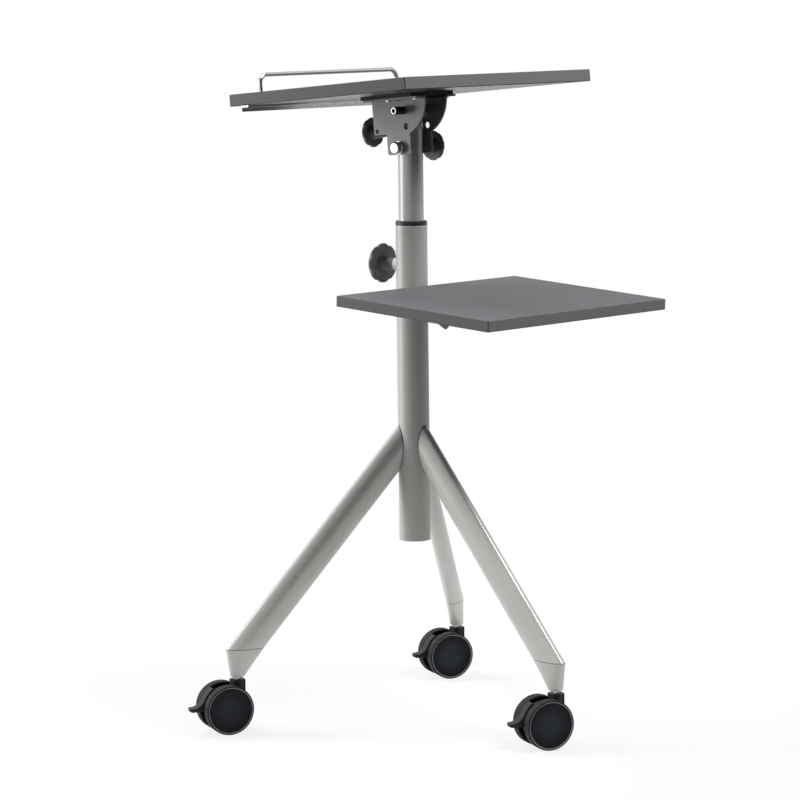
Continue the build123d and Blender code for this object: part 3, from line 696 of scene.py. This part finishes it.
# %% A screw head
SCREW_RADIUS, SCREW_HEIGHT, SCREW_SINK = 0.0040, 0.0028, 0.0004
SCREW_SIDE = 0.4 * SCREW_HEIGHT
DOME_STEPS = 6
CROSS_LONG, CROSS_WIDE, CROSS_DEEP = 0.0024, 0.0005, 0.0016


def cut_cross(head, seat, outward):
    """Cut a cross into the top of a screw head."""
    cross = bmesh.new()
    for wide, long in ((CROSS_WIDE, CROSS_LONG), (CROSS_LONG, CROSS_WIDE)):
        size = Matrix.Diagonal((2 * wide, 2 * long, 2 * CROSS_DEEP, 1))
        bmesh.ops.create_cube(cross, size=1.0, matrix=Matrix.Translation((0, 0, SCREW_HEIGHT)) @ size)
    cutter = to_piece(head.name + "_cutter", cross, seat, outward)
    cut = head.modifiers.new("recess", "BOOLEAN")
    cut.object = cutter
    cut.use_self = True
    solid = bpy.data.meshes.new_from_object(head.evaluated_get(bpy.context.evaluated_depsgraph_get()))
    head.modifiers.clear()
    head.data = solid
    bpy.data.objects.remove(cutter)


def screw_head(name, seat, outward):
    line = [(0, -SCREW_SINK), (SCREW_RADIUS, -SCREW_SINK), (SCREW_RADIUS, SCREW_SIDE)]
    for step in range(1, DOME_STEPS):
        turn = math.radians(90 * step / DOME_STEPS)
        height = SCREW_SIDE + (SCREW_HEIGHT - SCREW_SIDE) * math.sin(turn)
        line.append((SCREW_RADIUS * math.cos(turn), height))
    head = turned_piece(name, line + [(0, SCREW_HEIGHT)], seat, outward)
    cut_cross(head, seat, outward)
    return head


print("screw heads", mm(2 * SCREW_RADIUS), "mm across")

# %% Screws in the flanges
SIDES = ("left", -1), ("right", 1)
FLANGE_SCREW_OUT = 0.0337
FLANGE_SCREWS_BACK = (-0.0497, 0.0062)
BELOW_FLANGE = 0.04
for side, way in SIDES:
    for row, back in enumerate(FLANGE_SCREWS_BACK):
        start = on_head(way * FLANGE_SCREW_OUT, back, BELOW_FLANGE)
        seat, outward = seat_on(side + "_side_plate", start, tray_up)
        fit(screw_head(f"flange_screw_{side}_{row}", seat, outward), "head", zinc_finish)
print("four flange screws")

# %% Screws under the shelf
TONGUE_SCREWS_OUT = 0.040
TONGUE_SCREWS_FORWARD = (0.085, 0.165)
BELOW_SHELF = Vector((0, 0, 0.55))
for side, way in SIDES:
    for row, forward in enumerate(TONGUE_SCREWS_FORWARD):
        start = way * TONGUE_SCREWS_OUT * shelf_right - forward * shelf_back + BELOW_SHELF
        seat, outward = seat_on("shelf_bracket", start, shelf_up)
        fit(screw_head(f"shelf_screw_{side}_{row}", seat, outward), "base", zinc_finish)
print("four shelf screws")

# %% [markdown]
# ## The stop bolt's rim
# The black sleeve of the stop bolt ends in a bright ring round its socket. It catches the light well before
# the rest of the head does, so it gets its own small turned ring with a rounded border.

# %% Rim of the stop bolt
stop_low, stop_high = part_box("stop_bolt")
sleeve_middle = Vector((stop_low.x, (stop_low.y + stop_high.y) / 2, (stop_low.z + stop_high.z) / 2))
RING_OUTER, RING_INNER = 0.0052, 0.0034
RING_STAND, RING_SINK, RING_ROUND = 0.0004, 0.0006, 0.0003
ring_line = [
    (RING_OUTER, -RING_SINK), (RING_OUTER, RING_STAND / 2), (RING_OUTER - RING_ROUND, RING_STAND),
    (RING_INNER + RING_ROUND, RING_STAND), (RING_INNER, RING_STAND / 2), (RING_INNER, -RING_SINK),
    (RING_OUTER, -RING_SINK),
]
fit(turned_piece("stop_bolt_rim", ring_line, sleeve_middle, Vector((-1, 0, 0))), "head", zinc_finish)
print("rim at", [mm(value) for value in sleeve_middle])

# %% [markdown]
# ## Caps on wheels and knobs
# The disc of a wheel is moulded round a small plain cap over the axle's end, and a knob has one in its
# crown over the screw. A cap could be part of the finish, but a real step of one to three tenths of a
# millimetre takes the light better. Each is a shallow turned dome. It is sunk a little into the face, and
# it turns with its wheel or knob.

# %% Cap helper
CAP_SINK, CAP_ROUND = 0.0012, 0.0002
CAP_RINGS, CAP_STEPS = 8, 48
OUTSIDE_CAP = 0.06


def cap(name, node, axis, middle, radius, face_curve, stand):
    """A cap where the axis leaves a face. face_curve is the face's radius, negative if it is hollow."""
    seat, _ = seat_on(node, middle + OUTSIDE_CAP * axis, -axis)
    rim = stand - radius ** 2 / (2 * face_curve)
    top = radius - CAP_ROUND
    line = [(0, -CAP_SINK), (radius, -CAP_SINK), (radius, rim - CAP_ROUND), (top, rim)]
    for ring in range(1, CAP_RINGS):
        share = 1 - ring / CAP_RINGS
        line.append((share * top, rim + (stand - rim) * (1 - share ** 2)))
    return turned_piece(name, line + [(0, stand)], seat, axis, CAP_STEPS)


print("cap helper ready")

# %% Wheel caps
WHEEL_CAP, DISC_CURVE, WHEEL_CAP_STAND = 0.0070, -0.394, 0.00012
for caster, finish in wheel_finishes.items():
    axle, middle = axis_of(caster + "_roll")
    for end, way in (("a", 1), ("b", -1)):
        piece = cap(f"{caster}_wheel_cap_{end}", f"{caster}_wheel_{end}", way * axle, middle,
                    WHEEL_CAP, DISC_CURVE, WHEEL_CAP_STAND)
        fit(piece, caster + "_wheels", finish)
print("six wheel caps")

# %% Knob caps
LOCK_CAP, LOCK_CROWN = 0.0095, 0.060
HEAD_CAP, HEAD_CROWN = 0.0075, 0.045
KNOB_CAP_STAND = 0.0003
knob_caps = {
    "lock_knob": (LOCK_CAP, LOCK_CROWN),
    "pivot_knob": (HEAD_CAP, HEAD_CROWN),
    "tilt_knob": (HEAD_CAP, HEAD_CROWN),
}
for knob, (radius, crown_curve) in knob_caps.items():
    piece = cap(knob + "_cap", knob, *axis_of(knob + "_turn"), radius, crown_curve, KNOB_CAP_STAND)
    fit(piece, knob, knob_finish)
print("three knob caps")

# %% [markdown]
# ## Floor and world
# The picture has a white ground with only a faint shadow under the casters. A white floor that is lit to
# white would need far too much light on the object. Instead the floor shows its own white to the camera and
# to reflections, mixed with some true diffuse near the casters that keeps the shadow. Bounced light sees
# plain diffuse, pale round the legs and dark further out, so that the feet are lit from below and the
# column stays dark. The floor's back is clear, so that a look from below isn't walled off.

# %% Floor
FLOOR_SIDE = 14.0
FLOOR_PALE = tone(0.92, 0.92, 0.92)
FLOOR_DARK = tone(0.08, 0.08, 0.08)
WHITE = tone(1, 1, 1)
SHADOW_SHARE = 0.18
SHADOW_FADE = 0.5, 1.1
PALE_FADE = 0.50, 0.95


def floor_finish():
    ground = new_finish("white_ground")
    shown = ground.shown()
    away = ground.off_axis(ground.place(), UP, ORIGIN)
    near = 1 - away.rise(*SHADOW_FADE)
    pale = shown | (1 - away.rise(*PALE_FADE))
    white = ground.node("Emission", {}, {"Color": WHITE, "Strength": 1.0})
    matt = ground.node("BsdfDiffuse", {}, {"Color": ground.mix(pale, FLOOR_DARK, FLOOR_PALE)})
    top = ground.node("MixShader", {}, {0: shown * (1 - SHADOW_SHARE * near), 1: matt, 2: white})
    clear = ground.node("BsdfTransparent")
    from_below = ground.node("NewGeometry", output="Backfacing")
    both = ground.node("MixShader", {}, {0: from_below, 1: top, 2: clear})
    ground.node("OutputMaterial", {}, {"Surface": both})
    return ground.holder


def flat_sheet(name, wide, tall, finish):
    """A level rectangle about the origin, for the studio."""
    x, y = wide / 2, tall / 2
    mesh = bpy.data.meshes.new(name)
    mesh.from_pydata([(-x, -y, 0), (x, -y, 0), (x, y, 0), (-x, y, 0)], [], [(0, 1, 2, 3)])
    mesh.materials.append(finish)
    sheet = bpy.data.objects.new(name, mesh)
    bpy.context.scene.collection.objects.link(sheet)
    return sheet


floor = flat_sheet("floor", FLOOR_SIDE, FLOOR_SIDE, floor_finish())
print("floor", FLOOR_SIDE, "m")

# %% World
FILL = 0.09
world = bpy.data.worlds.new("studio")
bpy.context.scene.world = world
sky = Finish(world)
weak_fill = sky.node("Background", {}, {"Color": WHITE, "Strength": FILL})
backdrop = sky.node("Background", {}, {"Color": WHITE, "Strength": 1.0})
surround = sky.node("MixShader", {}, {0: sky.shown(), 1: weak_fill, 2: backdrop})
sky.node("OutputWorld", {}, {"Surface": surround})
print("world fill", FILL)

# %% [markdown]
# ## Camera
# The camera was worked out from the photo: where the feet, the column and the corners of both boards stand
# in the picture fixes its place, its heading, its dip and its focal length. It is a long lens from some way
# off.

# %% Camera
CAMERA_SIDE = -46.44
CAMERA_AWAY = 4.49591
CAMERA_HEIGHT = 1.10786
HEADING, DIP, ROLL = -46.18, 7.81, -0.72
LENS, SENSOR = 134.25, 36.0
lens = bpy.data.cameras.new("camera")
lens.lens = LENS
lens.sensor_width = SENSOR
camera = bpy.data.objects.new("camera", lens)
around = math.radians(CAMERA_SIDE)
spot = Matrix.Translation((math.sin(around) * CAMERA_AWAY, -math.cos(around) * CAMERA_AWAY, CAMERA_HEIGHT))
heading = Matrix.Rotation(math.radians(HEADING), 4, "Z")
dip = Matrix.Rotation(math.radians(90 - DIP), 4, "X")
roll = Matrix.Rotation(math.radians(ROLL), 4, "Z")
camera.matrix_world = spot @ heading @ dip @ roll
bpy.context.scene.collection.objects.link(camera)
bpy.context.scene.camera = camera
bpy.context.scene.view_settings.view_transform = "Standard"
print("camera at", [round(value, 2) for value in camera.matrix_world.translation])

# %% [markdown]
# ## Lamps
# The tubes in the photo are bright on their left flank, darkest to the right of the middle, and bright
# again at the right border, and the boards are lit from above. A large soft lamp stands on the left, and
# three hang high: behind on the left, in front on the right, and at the back. They are weak enough that the
# pale coat comes near white only in thin strips along its edges. The room is dark at the front right, and a
# dark card stands for it. Angles are counted from the camera.

# %% Soft lamps
AIM = Vector((0, 0, 0.62))


def round_object(turn, height, away):
    """A place round the object, turned from the camera, that faces the aim."""
    angle = math.radians(CAMERA_SIDE + turn)
    spot = Vector((math.sin(angle) * away, -math.cos(angle) * away, height))
    return Matrix.Translation(spot) @ (AIM - spot).to_track_quat("-Z", "Y").to_matrix().to_4x4()


def soft_lamp(name, turn, height, away, wide, tall, watts):
    light = bpy.data.lights.new(name, "AREA")
    light.shape = "RECTANGLE"
    light.size, light.size_y = wide, tall
    light.energy = watts
    lamp = bpy.data.objects.new(name, light)
    lamp.matrix_world = round_object(turn, height, away)
    bpy.context.scene.collection.objects.link(lamp)
    print(name, watts, "W")


soft_lamp("left_lamp", turn=-95, height=0.95, away=2.5, wide=1.0, tall=1.5, watts=39)
soft_lamp("high_left_lamp", turn=-118, height=2.8, away=1.8, wide=1.2, tall=1.2, watts=54)
soft_lamp("high_right_lamp", turn=58, height=2.8, away=1.8, wide=1.2, tall=1.2, watts=63)
soft_lamp("high_back_lamp", turn=180, height=2.8, away=1.8, wide=1.4, tall=1.4, watts=12)

# %% Dark card
CARD_WIDE, CARD_TALL = 5.0, 3.6
CARD_CLOTH = tone(0.02, 0.02, 0.02)
cloth = new_finish("dark_cloth")
dull = cloth.node("BsdfDiffuse", {}, {"Color": CARD_CLOTH})
cloth.node("OutputMaterial", {}, {"Surface": dull})
card = flat_sheet("dark_card", CARD_WIDE, CARD_TALL, cloth.holder)
card.matrix_world = round_object(turn=42, height=1.5, away=2.7)
card.visible_camera = False
card.visible_shadow = False
print("dark card at", [round(value, 2) for value in card.matrix_world.translation])

# %% [markdown]
# The dressing ends here; the CAD box was printed near the start.

# %% Finish
print("dressing done")
